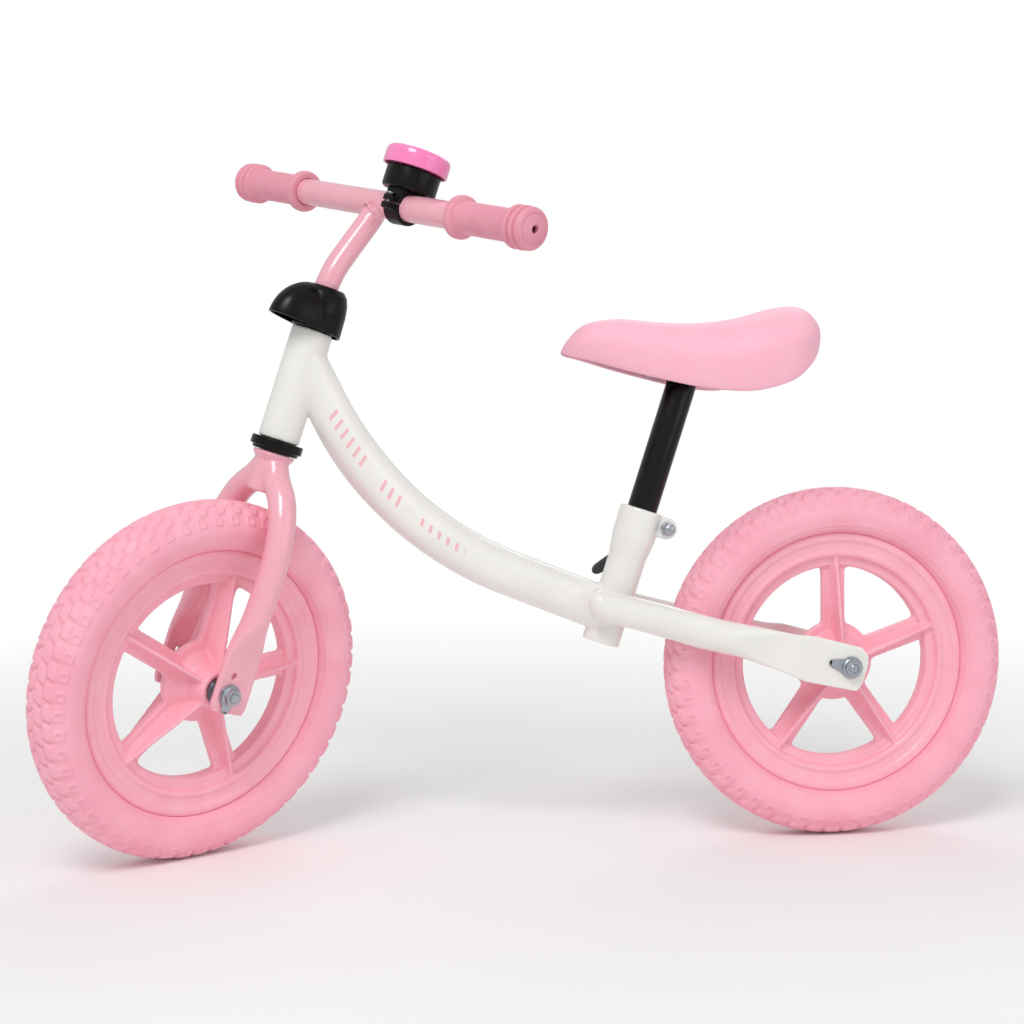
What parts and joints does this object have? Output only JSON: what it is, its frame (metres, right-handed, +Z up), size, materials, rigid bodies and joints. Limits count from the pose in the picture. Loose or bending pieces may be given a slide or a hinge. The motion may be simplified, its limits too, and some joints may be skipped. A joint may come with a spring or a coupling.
{
  "type": "balance bike",
  "caption": "Child's balance bike with a swept white tube frame, pink fork, handlebar and foam-tyred spoked wheels, black headset hood and a padded saddle on a clamped post.",
  "frame": {"origin": "the point on the ground under the middle of the rear axle, where the rear tyre stands", "axes": "+X forwards, +Y to the rider's left, +Z up; the steering is turned about 34 degrees to the left at rest"},
  "size_m": [0.8237, 0.3273, 0.5858],
  "materials": {
    "pearl_paint": "gloss",
    "pink_paint": "gloss",
    "black_paint": "gloss",
    "black_plastic": "satin",
    "lever_plastic": "matte",
    "zinc": "satin",
    "pink_plastic": "satin",
    "foam_tyre": "matte",
    "grip_rubber": "matte",
    "saddle_skin": "satin",
    "bell_pink": "gloss"
  },
  "bodies": {
    "frame": {"head_tube": "pearl_paint", "lower_headset_cup": "black_plastic", "upper_headset_cup": "black_plastic", "main_tube": "pearl_paint", "left_chainstay": "pearl_paint", "right_chainstay": "pearl_paint", "seat_tube": "pearl_paint", "seat_clamp_collar": "pearl_paint", "clamp_skewer": "zinc", "clamp_acorn_nut": "zinc", "clamp_cam_washer": "black_plastic", "clamp_lever_pin": "zinc", "rear_axle": "zinc", "rear_hub_sleeve": "zinc", "rear_spacer_left": "zinc", "rear_spacer_right": "zinc", "rear_washer_left": "zinc", "rear_washer_right": "zinc", "rear_nut_left": "zinc", "rear_nut_right": "zinc"},
    "fork": {"fork_steerer": "pink_paint", "fork_leg_left": "pink_paint", "fork_leg_right": "pink_paint", "stem_clamp": "black_paint", "stem_clamp_bolt": "zinc", "stem_clamp_hood": "black_plastic", "front_axle": "zinc", "front_hub_sleeve": "zinc", "front_spacer_left": "zinc", "front_spacer_right": "zinc", "front_washer_left": "zinc", "front_washer_right": "zinc", "front_nut_left": "zinc", "front_nut_right": "zinc"},
    "front_wheel": {"front_tyre": "foam_tyre", "front_rim": "pink_plastic", "front_bearing_left": "zinc", "front_bearing_right": "zinc"},
    "rear_wheel": {"rear_tyre": "foam_tyre", "rear_rim": "pink_plastic", "rear_bearing_left": "zinc", "rear_bearing_right": "zinc"},
    "handlebar_set": {"handlebar_stem": "pink_paint", "handlebar": "pink_paint", "left_grip": "grip_rubber", "right_grip": "grip_rubber", "bell_base": "black_plastic", "bell_clamp_screw": "zinc", "bell_gong": "zinc"},
    "bell_top": {"bell_cap": "bell_pink", "bell_striker": "zinc"},
    "seat": {"seat_post": "black_paint", "saddle_plate": "black_paint", "saddle_screw_front": "zinc", "saddle_screw_rear_left": "zinc", "saddle_screw_rear_right": "zinc", "saddle_base": "black_plastic", "saddle_cover": "saddle_skin"},
    "lever": {"clamp_lever": "lever_plastic"}
  },
  "joints": [
    {"name": "steer", "type": "hinge", "parent": "frame", "child": "fork", "pos_m": [0.5383, 0, 0.1467], "axis": [-0.3057, 0, 0.9521], "continuous": true},
    {"name": "front_wheel_spin", "type": "hinge", "parent": "fork", "child": "front_wheel", "pos_m": [0.54191, 0.00255, 0.14786], "axis": [-0.5315, 0.8297, -0.1706], "continuous": true},
    {"name": "rear_wheel_spin", "type": "hinge", "parent": "frame", "child": "rear_wheel", "pos_m": [0, 0, 0.15], "axis": [0, 1, 0], "continuous": true},
    {"name": "handlebar_height", "type": "slide", "parent": "fork", "child": "handlebar_set", "axis": [-0.3057, 0, 0.9521], "range_m": [0, 0.04]},
    {"name": "bell_twist", "type": "hinge", "parent": "handlebar_set", "child": "bell_top", "pos_m": [0.37388, 0.01104, 0.53082], "axis": [-0.3057, 0, 0.9521], "range_deg": [0, 40], "stiffness_Nm_per_rad": 0.05},
    {"name": "seat_height", "type": "slide", "parent": "frame", "child": "seat", "axis": [-0.304, 0, 0.9527], "range_m": [-0.06, 0.04]},
    {"name": "clamp_lever_open", "type": "hinge", "parent": "frame", "child": "lever", "pos_m": [0.15139, -0.0206, 0.26638], "axis": [-0.5779, 0, -0.8161], "range_deg": [0, 150]}
  ]
}
